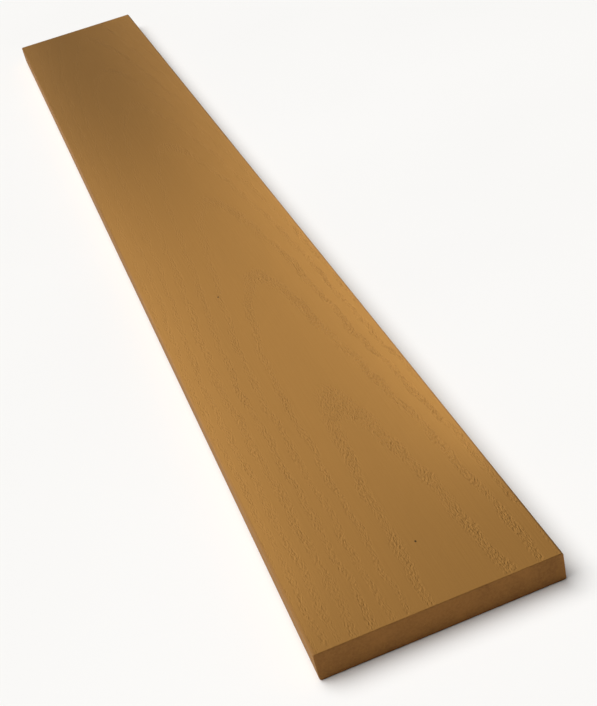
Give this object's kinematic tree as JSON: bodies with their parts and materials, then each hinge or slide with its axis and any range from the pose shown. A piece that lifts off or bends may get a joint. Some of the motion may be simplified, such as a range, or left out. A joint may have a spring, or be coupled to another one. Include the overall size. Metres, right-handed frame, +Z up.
{
  "type": "composite fence board",
  "caption": "Solid wood-plastic composite fence board with an embossed wood-grain show face, eased long edges and square-sawn ends.",
  "frame": {"origin": "middle of the plain underside, on the floor that the board lies on", "axes": "+X across the width, +Y along the length towards the end that is far from the camera in the picture, +Z up, out of the embossed show face"},
  "size_m": [0.15, 1.2, 0.02],
  "materials": {
    "wood_plastic_composite": "matte"
  },
  "bodies": {
    "root": {"fence_board": "wood_plastic_composite"}
  },
  "joints": []
}
